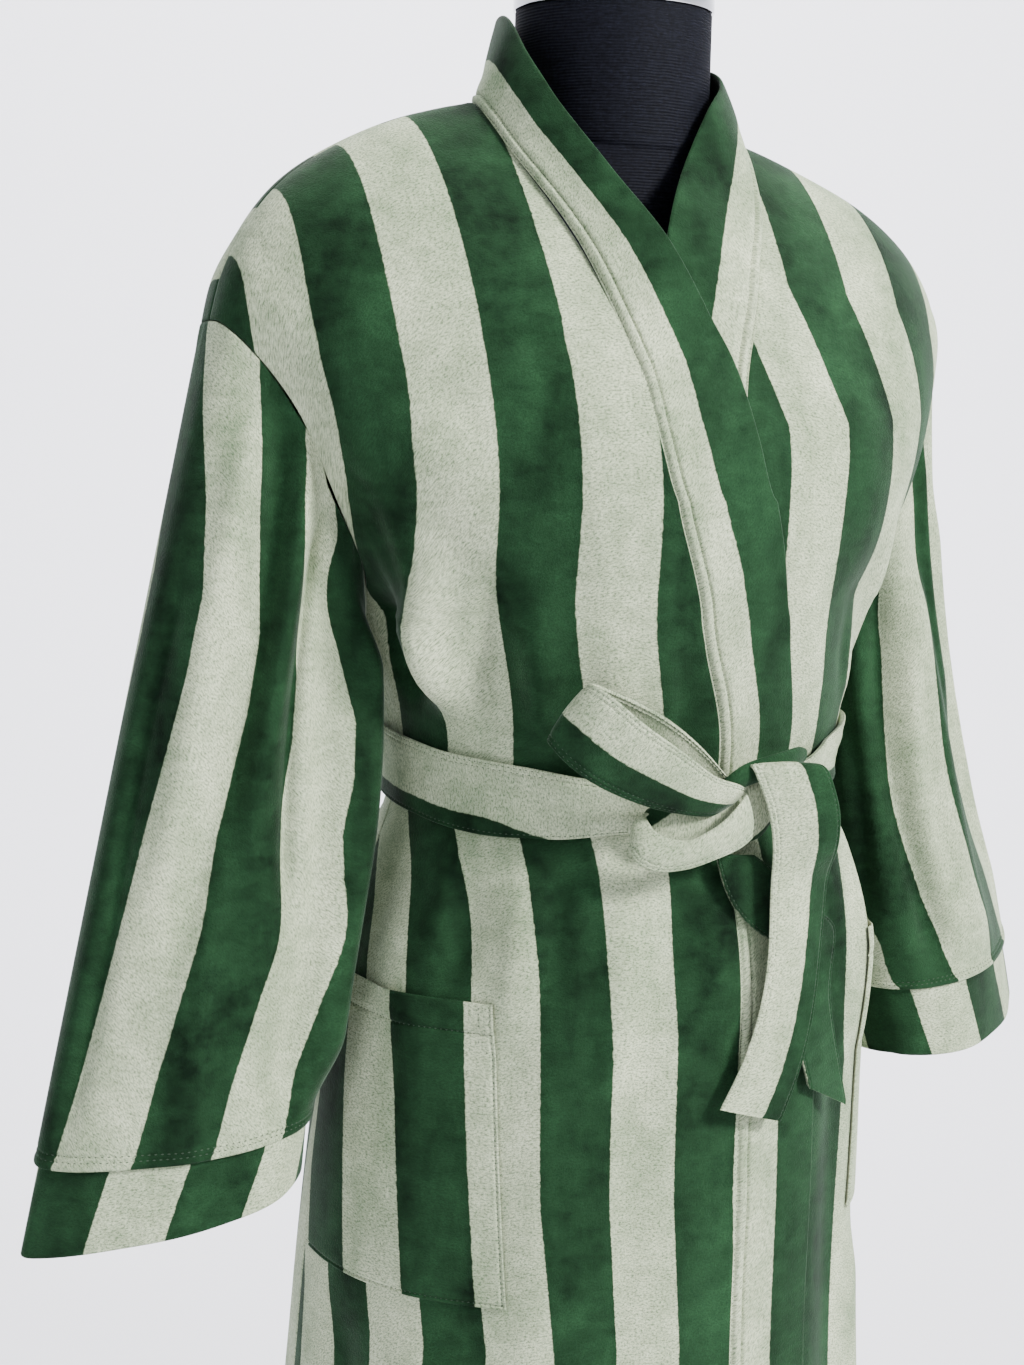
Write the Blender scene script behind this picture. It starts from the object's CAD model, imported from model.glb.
"""Looks of a striped velvet kimono robe, tied with a half bow, on a limbless dress form.

Sizes in the tables are millimetres. +X is the wearer's left, -Y is the front, +Z is up.
"""

import math

import bpy
import mathutils
import numpy as np
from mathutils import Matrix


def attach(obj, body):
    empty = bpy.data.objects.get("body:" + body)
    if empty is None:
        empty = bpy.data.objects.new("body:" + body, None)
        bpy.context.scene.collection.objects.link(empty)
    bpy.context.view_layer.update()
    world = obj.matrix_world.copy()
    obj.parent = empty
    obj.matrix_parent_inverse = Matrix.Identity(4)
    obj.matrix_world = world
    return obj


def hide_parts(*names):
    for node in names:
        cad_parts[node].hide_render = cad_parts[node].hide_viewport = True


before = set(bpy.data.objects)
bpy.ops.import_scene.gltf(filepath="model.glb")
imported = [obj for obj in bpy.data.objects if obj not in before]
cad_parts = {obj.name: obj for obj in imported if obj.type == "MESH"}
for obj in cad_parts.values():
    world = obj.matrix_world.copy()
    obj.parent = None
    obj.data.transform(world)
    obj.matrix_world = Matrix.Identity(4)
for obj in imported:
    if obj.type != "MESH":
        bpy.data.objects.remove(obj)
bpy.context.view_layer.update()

MM = 0.001
CLOTH = 1.6                   # thickness of one layer
BAND = 2.4                    # of the folded neck band
BELT = 3.0                    # of the belt round the waist
BOW = 2.6                     # of its loop and tails
CHEST = 1240.0                # heights of the chest row, the armpit and the hem
PIT = 1172.0
HEM = 250.0
EDGE_FRONT = 36.0             # depth of the armhole's edge before and behind
EDGE_BACK = 46.0
SEAM_TURN = 8.0               # degrees that the side seam sits behind the side
RIDGE_Y = -10.0               # depth of the shoulder line at the neck
LEFT_REACH = 0.918            # the left shoulder's width as a share of the right one's
RING_POWER = 2.1              # squareness of the body's sections
STRIPE = 44.0
STRIPE_START = -13.0          # where a green stripe starts in the cloth's own measure
SEAM_SHARE = 0.0012           # share of the row left free on each side of a seam
SHOULDER_GAP = 0.35           # from a panel's first row to the shoulder line
UNDER_BAND = 0.002            # share of the row that a front reaches under its neck band
BAND_ROLL = 0.35              # height of the small roll beside the band seam
THREAD_SUNK = 0.15            # depth of a stitch's ends in the cloth


def table(columns, *rows):
    """Rows of numbers under named columns."""
    values = np.array(rows, float)
    return {name: values[:, i] for i, name in enumerate(columns.split())}


def rows_of(rows, columns):
    """The rows of a table, each as the values of the named columns."""
    return zip(*(rows[name] for name in columns.split()))


# Shape of the worn robe

# Sections of the body by height: sideways shift, half width and depth before and behind
RINGS = table(
    "z shift half front back",
    (250, -6, 214, 178, 200),
    (500, -8, 196, 160, 184),
    (740, -6, 178, 146, 165),
    (860, -1, 172, 142, 154),
    (960, 5, 165, 137, 140),
    (1020, 7, 149, 126, 118),
    (1062, 7, 137, 116, 101),
    (1105, 8, 143, 122, 108),
    (1172, 0, 160, 134, 120),
    (1240, 0, 200, 140, 122),
)
# Shoulder line by share of the way out: distance from the middle and height on each side
SHOULDER = table(
    "k x right left",
    (0.00, 0, 1458, 1456),
    (0.20, 80, 1455, 1442),
    (0.36, 130, 1445, 1427),
    (0.52, 174, 1427, 1410),
    (0.68, 209, 1404, 1388),
    (0.82, 232, 1375, 1364),
    (0.92, 243, 1352, 1345),
    (1.00, 249, 1328, 1326),
)
# Neck band of the right front by level: its seam, its free edge and how far that edge rises
RIGHT_EDGE = table(
    "level seam free rise",
    (0.00, -0.250, -0.10, 0.06),
    (0.26, -0.245, -0.07, 0.08),
    (0.52, -0.185, 0.00, 0.09),
    (0.72, -0.152, 0.035, 0.07),
    (0.85, -0.140, 0.055, 0.04),
    (1.00, -0.118, 0.085, 0.016),
    (1.07, -0.050, 0.160, 0.012),
    (1.14, 0.000, 0.205, 0.004),
    (1.23, 0.025, 0.225, 0),
    (1.46, 0.055, 0.250, 0),
    (1.99, 0.060, 0.240, 0),
)
LEFT_EDGE = table(
    "level seam free rise",
    (0.00, 0.190, 0.07, 0.06),
    (0.34, 0.170, 0.03, 0.08),
    (0.52, 0.125, -0.05, 0.08),
    (0.73, 0.050, -0.115, 0.06),
    (0.85, 0.025, -0.135, 0.03),
    (1.00, 0.005, -0.165, 0.012),
    (1.07, -0.010, -0.190, 0.006),
    (1.23, -0.045, -0.235, 0),
    (1.46, -0.045, -0.225, 0),
    (1.99, -0.045, -0.210, 0),
)
# Free edge of the band where it stands up round the neck
RIGHT_STAND = table(
    "level x y z",
    (0.00, -73, 0, 1517),
    (0.13, -80, -33, 1486),
    (0.26, -75, -58, 1459),
    (0.40, -51, -86, 1416),
    (0.52, -24, -106, 1377),
    (0.62, -5, -117, 1339),
    (0.72, 8, -123, 1309),
    (0.90, 18, -135, 1262),
)
LEFT_STAND = table(
    "level x y z",
    (0.00, 64, -2, 1491),
    (0.13, 55, -30, 1475),
    (0.27, 34, -52, 1458),
    (0.40, 10, -65, 1424),
    (0.50, -8, -81, 1396),
    (0.62, -26, -98, 1348),
    (0.73, -38, -108, 1306),
    (0.90, -44, -125, 1262),
)
# Levels between which the standing band comes to lie flat
STAND_ENDS = 0.62
STAND_DONE = 0.84
# Neck behind, by share of its half width: the panel's edge and the band's free edge
NECK_BACK = table(
    "share rise right left y right_z left_z",
    (0.00, 0.34, 0, 0, 70, 1491, 1491),
    (0.25, 0.32, 22, 22, 66, 1493, 1490),
    (0.55, 0.245, 47, 47, 51, 1498, 1489),
    (0.85, 0.10, 66, 62, 26, 1508, 1488),
    (1.00, 0.012, 72, 64, 2, 1515, 1490),
)
# Long folds by share of the row: place, width, height, upper and lower end, and lean
FRONT_FOLDS = table(
    "at wide high top low lean",
    (-0.86, 0.060, -6, 1215, 1124, 0.0),
    (-0.72, 0.055, 4.5, 1205, 1122, 0.0),
    (-0.36, 0.060, 2.5, 1160, 1120, 0.0),
    (0.52, 0.075, -3, 1190, 1128, 0.0),
    (0.76, 0.070, 4, 1205, 1130, 0.0),
    (-0.86, 0.060, -4, 1024, 988, 0.0),
    (-0.64, 0.055, 4, 1026, 988, 0.0),
    (-0.34, 0.055, 3.5, 1026, 560, 0.06),
    (-0.16, 0.055, -3, 1026, 250, 0.06),
    (0.36, 0.055, -3.5, 1030, 250, 0.08),
    (0.55, 0.065, 5, 770, 250, 0.05),
    (0.80, 0.070, -5, 770, 250, 0.05),
    (-0.80, 0.075, -7, 755, 250, 0.05),
    (-0.57, 0.070, 6, 745, 250, 0.05),
)
BACK_FOLDS = table(
    "at wide high top low lean",
    (-0.74, 0.070, 6, 1215, 1138, 0.0),
    (-0.42, 0.070, -5, 1200, 1138, 0.0),
    (-0.10, 0.070, 6, 1185, 1138, 0.0),
    (0.24, 0.070, -5, 1200, 1140, 0.0),
    (0.60, 0.070, 6, 1215, 1140, 0.0),
    (-0.76, 0.070, -6, 1030, 250, 0.04),
    (-0.50, 0.075, 7, 1032, 250, 0.05),
    (-0.24, 0.070, -7, 1034, 250, 0.03),
    (0.02, 0.075, 8, 1036, 250, 0.02),
    (0.28, 0.070, -7, 1036, 250, 0.03),
    (0.53, 0.075, 7, 1034, 250, 0.05),
    (0.78, 0.070, -6, 1032, 250, 0.04),
)
FOLD_FADE = 45.0

# Small creases laid on the folds: from and to in millimetres along the row from the middle and in height
FRONT_CREASES = table(
    "s0 z0 s1 z1 wide high",
    (-205, 1215, -150, 1120, 9, 7),
    (-222, 1190, -178, 1118, 9, -8),
    (-190, 1245, -168, 1165, 10, 3),
    (-172, 1205, -146, 1104, 8, 7),
    (-136, 1200, -122, 1100, 9, -5),
    (-104, 1180, -98, 1096, 9, 3.6),
    (-60, 1160, -66, 1098, 8, 2.4),
    (-175, 1322, -40, 1312, 5, -1.1),
    (-20, 1160, -30, 1090, 8, -1.8),
    (-205, 1240, -160, 1290, 16, 2.5),
    (-170, 1320, -120, 1220, 22, -1.8),
    (-80, 1330, -96, 1230, 24, 1.6),
    (-150, 1032, -158, 960, 9, -3.5),
    (-118, 1034, -124, 930, 10, 3),
    (-92, 1036, -96, 955, 8, -2.5),
    (-62, 1038, -70, 900, 10, 2.6),
    (-30, 1036, -36, 940, 9, -2),
    (4, 1030, 0, 930, 9, 1.6),
    (-196, 1010, -180, 900, 14, 3),
    (150, 1230, 168, 1120, 12, 4),
    (186, 1225, 176, 1110, 10, -5),
    (120, 1180, 128, 1110, 9, 2.5),
    (88, 1300, 112, 1180, 22, 1.8),
    (60, 1225, 78, 1120, 14, 1.6),
    (104, 1040, 116, 900, 12, -3),
    (140, 1045, 156, 900, 12, 3.5),
    (-140, 560, -150, 260, 26, 3),
    (-40, 480, -48, 260, 30, -3),
    (110, 520, 126, 255, 28, 3),
)
BACK_CREASES = table(
    "s0 z0 s1 z1 wide high",
    (-190, 1230, -150, 1110, 11, 5),
    (-140, 1215, -118, 1108, 10, -4),
    (-84, 1195, -70, 1108, 10, 4),
    (-20, 1190, -18, 1106, 9, -3.5),
    (46, 1200, 36, 1106, 10, 4),
    (104, 1210, 88, 1108, 10, -4),
    (176, 1225, 140, 1108, 11, 5),
    (-150, 1048, -168, 930, 12, 4),
    (-90, 1052, -98, 900, 12, -4),
    (-34, 1054, -38, 910, 11, 3.5),
    (28, 1054, 32, 890, 12, -3.5),
    (86, 1052, 94, 910, 12, 4),
    (148, 1048, 166, 920, 12, -4),
    (-120, 1400, -60, 1260, 26, 2),
    (118, 1396, 62, 1250, 26, 2),
    (-60, 640, -70, 270, 34, 4),
    (90, 600, 100, 270, 34, -4),
)
# Cloth measure at the middle of each row, and how the stripes spread sideways, by level
RIGHT_STRIPES = table(
    "level start spread",
    (0.00, -22, 1.0),
    (1.056, -12, 1.0),
    (1.214, -3.3, 1.12),
    (1.395, 2.5, 1.16),
    (1.48, 11.4, 1.2),
    (1.99, 11.4, 1.2),
)
LEFT_STRIPES = table(
    "level start spread",
    (0.00, 0, 1.0),
    (0.53, 10, 1.0),
    (0.80, -12, 1.0),
    (1.04, -8.5, 1.0),
    (1.42, -2, 1.0),
    (1.99, -2, 1.0),
)
BACK_STRIPES = table("level start spread", (0.0, 53, 1.0), (1.17, 53, 1.0), (1.40, 53, 1.1), (1.99, 53, 1.2))

# Sleeves: the end loop, and folds by share round the sleeve and share of the way down
SLEEVES = {
    "right": dict(
        side=-1, x=-270, y=2, outer_z=868, inner_z=880, long=80, deep=52, tear=0.32, turn=5,
        bulge=12, forward=6, sag=0, cuff_inner=1.0,
    ),
    "left": dict(
        side=1, x=285, y=26, outer_z=921, inner_z=907, long=84, deep=46, tear=0.25, turn=-25,
        bulge=8, forward=0, sag=20, cuff_inner=1.6,
    ),
}
SLEEVE_FOLDS = {
    "right": table(
        "at wide high top low lean",
        (0.115, 0.030, 5, 0.10, 0.62, -0.03),
        (0.185, 0.035, -6, 0.02, 0.70, 0.02),
        (0.330, 0.040, -6, 0.10, 0.95, 0.02),
        (0.400, 0.032, 8, 0.12, 0.90, 0.03),
        (0.640, 0.045, -6, 0.10, 0.95, 0.02),
        (0.800, 0.045, 5, 0.15, 0.95, 0.02),
        (0.235, 0.020, 6, 0.04, 0.55, 0.08),
        (0.285, 0.018, -6, 0.06, 0.62, 0.05),
        (0.060, 0.022, -3.5, 0.30, 0.95, -0.02),
        (0.200, 0.022, 3.5, 0.50, 0.98, 0.03),
        (0.470, 0.020, -2.5, 0.25, 0.85, 0.02),
        (0.560, 0.022, 2.5, 0.10, 0.80, 0.02),
        (0.730, 0.022, -2.5, 0.30, 0.95, -0.03),
        (0.900, 0.024, -2, 0.10, 0.70, 0.02),
    ),
    "left": table(
        "at wide high top low lean",
        (0.130, 0.035, -5, 0.05, 0.80, 0.02),
        (0.270, 0.040, 5, 0.20, 0.95, -0.03),
        (0.370, 0.035, -6, 0.08, 0.95, 0.02),
        (0.660, 0.045, 5, 0.10, 0.95, 0.02),
        (0.820, 0.045, -6, 0.15, 0.95, 0.02),
        (0.200, 0.018, 3, 0.04, 0.50, 0.06),
        (0.320, 0.020, 2.5, 0.30, 0.90, 0.02),
        (0.070, 0.022, 2.5, 0.25, 0.95, 0.02),
        (0.460, 0.022, -2.5, 0.15, 0.80, 0.02),
        (0.560, 0.022, 2.5, 0.10, 0.85, -0.02),
        (0.740, 0.022, -2.5, 0.20, 0.90, 0.03),
        (0.920, 0.022, 2.0, 0.10, 0.75, 0.02),
    ),
}
# Distance of the first stripe's edge from the sleeve's fold line, by share of the way down
SLEEVE_STRIPES = {
    "right": table(
        "down shift",
        (0.0, 0), (0.10, 14), (0.19, 28), (0.285, 38), (0.38, 38), (0.59, 29), (1.1, 8),
    ),
    "left": table("down shift", (0.0, 0), (0.3, 10), (0.6, 14), (1.1, 16)),
}
# Cuff bands by share of the sleeve's length, and their distance inside the sleeve
CUFF_FROM = 0.982
CUFF_TO = 1.108
CUFF_INSET = 2.6

# Belt round the waist by degrees from the front: its height and half width
BELT_RING = table(
    "at z half",
    (-180, 1084, 22),
    (-130, 1080, 22),
    (-90, 1076, 21.5),
    (-60, 1069, 21.5),
    (-40, 1067, 19),
    (-20, 1066, 14),
    (0, 1064, 12),
    (18, 1070, 12),
    (34, 1078, 14),
    (55, 1082, 18),
    (90, 1081, 21),
    (140, 1083, 22),
    (180, 1084, 22),
)
# Strips of the bow, station by station along the strip: one edge a and the other edge b
LOOP = table(
    "ax ay az bx by bz",
    (2, -136, 1066, 15, -140, 1078),
    (-11, -143, 1064, 4, -147, 1082),
    (-30, -145, 1067, -12, -152, 1087),
    (-54, -145, 1073, -36, -157, 1103),
    (-86, -140, 1088, -65, -158, 1122),
    (-100, -133, 1101, -82, -153, 1137),
    (-103, -127, 1107, -88, -145, 1141),
    (-99, -121, 1108, -84, -138, 1141),
    (-83, -122, 1104, -70, -137, 1136),
    (-46, -127, 1088, -45, -141, 1124),
    (-24, -131, 1078, -16, -139, 1104),
    (-6, -133, 1074, 7, -136, 1082),
)
# Turn of the belt that crosses the knot slantwise, and the small fold above it
KNOT_WRAP = table(
    "ax ay az bx by bz",
    (-40, -128, 1062, -34, -128, 1066),
    (-55, -134, 1052, -46, -133, 1065),
    (-58, -142, 1043, -46, -144, 1058),
    (-44, -148, 1036, -30, -151, 1053),
    (-28, -151, 1037, -18, -153, 1057),
    (-10, -151, 1041, -8, -153, 1062),
    (6, -149, 1045, 2, -151, 1069),
    (18, -143, 1049, 12, -145, 1075),
)
KNOT_FOLD = table(
    "ax ay az bx by bz",
    (-4, -136, 1070, -2, -138, 1080),
    (12, -141, 1078, 10, -143, 1091),
    (30, -141, 1082, 30, -142, 1095),
    (50, -132, 1084, 54, -133, 1097),
    (60, -124, 1084, 66, -124, 1094),
)
TAIL_FRONT = table(
    "ax ay az bx by bz",
    (18, -134, 1083.6, 46, -134, 1085),
    (14, -146, 1091, 58, -153, 1090),
    (17, -150, 1081, 62, -159, 1078),
    (22, -152, 1068, 66, -160, 1064),
    (28, -151, 1041, 70, -154, 1042),
    (28, -150, 1016, 72, -140, 1020),
    (27, -151, 988, 69, -143, 987),
    (22, -153, 956, 62, -149, 951),
    (11, -155, 925, 52, -152, 918),
    (-5, -156, 899, 37, -155, 886),
)
TAIL_BACK = table(
    "ax ay az bx by bz",
    (0, -135, 1040, 24, -137, 1038),
    (2, -138, 1026, 38, -138, 1028),
    (12, -140, 1006, 52, -136, 1012),
    (30, -142, 991, 74, -131, 1000),
    (50, -141, 979, 94, -122, 984),
    (44, -143, 956, 80, -137, 956),
    (54, -144, 926, 88, -135, 922),
    (63, -145, 899, 99, -132, 880),
)
# Knot from the wearer's right to the left: its middle and its half height and depth
KNOT = table(
    "x y z tall deep",
    (-46, -128, 1056, 3, 2),
    (-40, -129.5, 1056, 12, 4),
    (-20, -132.5, 1058, 15, 6.5),
    (4, -134.5, 1062, 18, 7.5),
    (26, -133, 1065, 18, 7),
    (41, -128.5, 1068, 12, 4.5),
    (47, -126.5, 1069, 3, 2),
)
# Pockets by share of the row: front edge above and below, back edge; then heights, width and first stripe
POCKETS = {
    "right": dict(
        side=-1, front_top=0.470, front_low=0.385, back=0.985, top=957, low=787, wide=118, stripe=18,
    ),
    "left": dict(
        side=1, front_top=0.535, front_low=0.465, back=0.985, top=972, low=802, wide=100, stripe=34,
    ),
}

# Form's sections by height, and the loops that close its shoulders up to the neck
FORM = table(
    "z right left front back",
    (728, 148, 148, 112, 124),
    (740, 152, 152, 118, 130),
    (800, 157, 157, 122, 134),
    (860, 158, 158, 124, 136),
    (960, 145, 148, 116, 120),
    (1020, 127, 130, 106, 98),
    (1062, 117, 122, 97, 85),
    (1105, 122, 128, 102, 90),
    (1172, 142, 142, 116, 102),
    (1240, 172, 172, 119, 103),
)
FORM_SHOULDER = table(
    "i share level front back",
    (0, 0.56, 0.86, 22, 9),
    (1, 0.53, 0.76, 26, 6),
    (2, 0.49, 0.66, 28, 5),
    (3, 0.42, 0.56, 28, 5),
    (4, 0.34, 0.48, 24, 6),
    (5, 0.26, 0.42, 18, 9),
    (6, 0.20, 0.39, 14, 12),
)
NECK_RADIUS = 57.5
NECK_Y = 4.0
NECK_BASE = 1440.0
NECK_DROP = 12.0
NECK_TOP = 1512.0
CAP_HEIGHT = 16.0
FORM_POWER = 2.2
CLOTH_ON_FORM = 1.2
POLE_RADIUS = 17.0
POLE_TOP = 727.6
BASE_RADIUS = 205.0
BASE_HEIGHT = 12.0
SEAM = 0.3                    # gap between two hard pieces


# Curves and small helpers

def ease(start, end, x):
    """Smooth step from 0 at the start to 1 at the end."""
    t = np.clip((np.asarray(x, float) - start) / (end - start), 0, 1)
    return t * t * (3 - 2 * t)


def mix(a, b, t):
    return a + (b - a) * t


def power(value, exponent):
    """Power that keeps the sign."""
    return np.sign(value) * np.abs(value) ** exponent


def curve(rows, key, column, at):
    """Smooth curve through a table's column, with no overshoot between its rows."""
    keys, values = rows[key], rows[column]
    if keys[0] > keys[-1]:
        keys, values = keys[::-1], values[::-1]
    span = np.diff(keys)
    slope = np.diff(values) / span
    tangent = np.zeros(len(keys))
    tangent[0], tangent[-1] = slope[0], slope[-1]
    before, after = slope[:-1], slope[1:]
    w0 = span[1:] * 2 + span[:-1]
    w1 = span[1:] + span[:-1] * 2
    inner = before * after > 0
    tangent[1:-1][inner] = ((w0 + w1)[inner]) / (w0[inner] / before[inner] + w1[inner] / after[inner])
    x = np.clip(np.asarray(at, float), keys[0], keys[-1])
    i = np.clip(np.searchsorted(keys, x, side="right") - 1, 0, len(keys) - 2)
    h = span[i]
    t = (x - keys[i]) / h
    return (
        (2 * t ** 3 - 3 * t ** 2 + 1) * values[i]
        + (t ** 3 - 2 * t ** 2 + t) * h * tangent[i]
        + (3 * t ** 2 - 2 * t ** 3) * values[i + 1]
        + (t ** 3 - t ** 2) * h * tangent[i + 1]
    )


def unit(v):
    return v / np.maximum(np.linalg.norm(v, axis=-1, keepdims=True), 1e-9)


def nearest(values, wanted):
    """Index of the value closest to the wanted one."""
    return int(np.argmin(np.abs(values - wanted)))


def stack(x, y, z):
    return np.stack(np.broadcast_arrays(x, y, z), -1).astype(float)


def grid_normals(points, around=False):
    """Directions of a grid of points, rows down and columns across."""
    down = np.gradient(points, axis=0)
    if around:
        across = np.roll(points, -1, 1) - np.roll(points, 1, 1)
    else:
        across = np.gradient(points, axis=1)
    return unit(np.cross(down, across))


def lengths_along(points, axis):
    """Length from the start of the grid along one direction."""
    steps = np.linalg.norm(np.diff(points, axis=axis), axis=-1)
    shape = list(points.shape[:-1])
    shape[axis] = 1
    return np.concatenate([np.zeros(shape), np.cumsum(steps, axis=axis)], axis=axis)


def sheet_edges(points):
    """Width and length from the start of a grid, and the distance to its nearest edge."""
    width = lengths_along(points, 1)
    drop = lengths_along(points, 0)
    beside = np.minimum(width, width[:, -1:] - width)
    ends = np.minimum(drop, drop[-1:] - drop)
    return width, drop, np.minimum(beside, ends)


def edge_lines(count, length, marks=()):
    """Shares from 0 to 1 for a piece this long, closer together at both ends and round each mark."""
    near_end = [0, 0.25, 0.6, 1.0, 1.5, 2.2, 3.2]
    near_mark = [-1.6, -0.9, -0.4, 0, 0.4, 0.9, 1.6]
    values = list(np.linspace(0, length, count + 1)[1:-1])
    values = [v for v in values if 4 < v < length - 4]
    for mark in marks:
        values = [v for v in values if abs(v - mark) > 2.2]
        values += [mark + step for step in near_mark]
    values += near_end
    values += [length - v for v in near_end]
    values = np.array(sorted(v for v in values if 0 <= v <= length))
    keep = np.concatenate([[True], np.diff(values) > 0.12])
    keep[-1] = True
    return values[keep] / length


def rounded(distance, thickness, radius=1.3):
    """Thickness of a sheet near its edge, where it is rounded off."""
    inside = 1 - np.clip(distance / radius, 0, 1)
    return thickness * np.sqrt(np.maximum(1 - inside ** 2, 0.02))


def gauss(x, wide):
    return np.exp(-((x / wide) ** 2))


# Surface of the worn body

def ring_point(degrees, z):
    """Point of the body's section at this height, by degrees from the front middle."""
    s = np.sin(np.radians(degrees))
    c = np.cos(np.radians(degrees))
    depth = np.where(c > 0, curve(RINGS, "z", "front", z), curve(RINGS, "z", "back", z))
    half = curve(RINGS, "z", "half", z)
    shift = curve(RINGS, "z", "shift", z)
    return stack(shift + half * power(s, 2 / RING_POWER), -depth * power(c, 2 / RING_POWER), z)


def edge_degrees(z, back):
    """Degrees of a panel's side edge: the armhole above the armpit and the side seam below."""
    full = EDGE_BACK if back else EDGE_FRONT
    depth = curve(RINGS, "z", "back" if back else "front", z)
    rise = np.clip((z - PIT) / (CHEST - PIT), 0, 1)
    edge = full * np.sqrt(1 - (1 - rise) ** 2)
    degrees = np.degrees(np.arccos(np.clip((edge / depth) ** (RING_POWER / 2), 0, 1)))
    turn = SEAM_TURN * (1 - ease(1062, PIT, z))
    return degrees - turn if back else degrees + turn


def dome_point(share, level, back):
    """Shoulder dome between the shoulder line and the chest row."""
    k = np.abs(share)
    left = share >= 0
    turn = np.radians(90 * np.clip(level, 0, 1))
    ridge_x = curve(SHOULDER, "k", "x", k) * np.where(left, mix(1, LEFT_REACH, k), 1)
    ridge_z = np.where(left, curve(SHOULDER, "k", "left", k), curve(SHOULDER, "k", "right", k))
    degrees = edge_degrees(CHEST, back) * k
    foot = ring_point(180 - degrees if back else degrees, CHEST)
    middle = 2.6 if back else 1.3
    bend = mix(middle, 2.0, np.minimum(k / 0.8, 1) ** 1.5) + ease(0.8, 1, k)
    bend_x = mix(middle, 2.0, k)
    ridge_y = RIDGE_Y * (1 - k)
    x = ridge_x + (foot[..., 0] - ridge_x) * (1 - np.cos(turn) ** (2 / bend_x))
    y = ridge_y + (foot[..., 1] - ridge_y) * np.sin(turn) ** (2 / bend)
    z = CHEST + (ridge_z - CHEST) * np.cos(turn) ** (2 / bend)
    return stack(x * np.where(left, 1, -1), y, z)


def body_point(share, level, back):
    """Point of the worn body, by share of the way to the side edge and by level."""
    share, level = np.broadcast_arrays(np.asarray(share, float), np.asarray(level, float))
    z = CHEST - 1000 * np.maximum(level - 1, 0)
    shift = curve(RINGS, "z", "shift", z)
    degrees = edge_degrees(z, back) * np.abs(share)
    low = ring_point(180 - degrees if back else degrees, z)
    low[..., 0] = shift + (low[..., 0] - shift) * np.where(share < 0, -1, 1)
    high = dome_point(share, level, back)
    return np.where((level < 1)[..., None], high, low)


def level_of(z):
    """Level of a height: 1 at the chest row and 1 more for each metre below it."""
    return 1 + (CHEST - z) / 1000


def belt_cover(share, z, back):
    """0 where the belt presses the cloth flat, 1 away from it."""
    degrees = edge_degrees(z, back) * share
    degrees = 180 - degrees if back else degrees
    degrees = (degrees + 180) % 360 - 180
    gap = np.abs(z - curve(BELT_RING, "at", "z", degrees)) - curve(BELT_RING, "at", "half", degrees)
    return ease(-1, 24, gap)


def fold_height(folds, share, z):
    """Height of the long folds, which run up and down and fade at both ends."""
    height = np.zeros(np.broadcast(share, z).shape)
    for at, wide, high, top, low, lean in rows_of(folds, "at wide high top low lean"):
        run = ease(top + FOLD_FADE / 2, top - FOLD_FADE / 2, z)
        if low > HEM:
            run = run * ease(low - FOLD_FADE / 2, low + FOLD_FADE / 2, z)
        middle = at * (1 + lean * (top - z) / 800)
        height = height + high * run * gauss(share - middle, wide)
    return height * (1 - np.abs(share) ** 10)


# How much deeper the creases are than their table says
CREASE_DEPTH = 1.9


def crease_height(creases, along, z):
    """Soft troughs and ridges along straight lines on the cloth, uneven across and fading at both ends."""
    height = np.zeros(along.shape)
    for s0, z0, s1, z1, wide, high in rows_of(creases, "s0 z0 s1 z1 wide high"):
        way = np.array([s1 - s0, z1 - z0])
        long = np.hypot(*way)
        share = ((along - s0) * way[0] + (z - z0) * way[1]) / long ** 2
        away = ((along - s0) * way[1] - (z - z0) * way[0]) / long
        away = away + wide * 0.5 * np.sin(share * 2.4 + s0)
        profile = np.where(away > 0, gauss(away, wide), gauss(away, wide * 1.5))
        height = height + CREASE_DEPTH * high * profile * np.sin(np.pi * np.clip(share, 0, 1)) ** 0.8
    return height


FIELD_COLUMNS = 361
DOME_ROWS = 90
LOW_ROWS = 300


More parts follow.
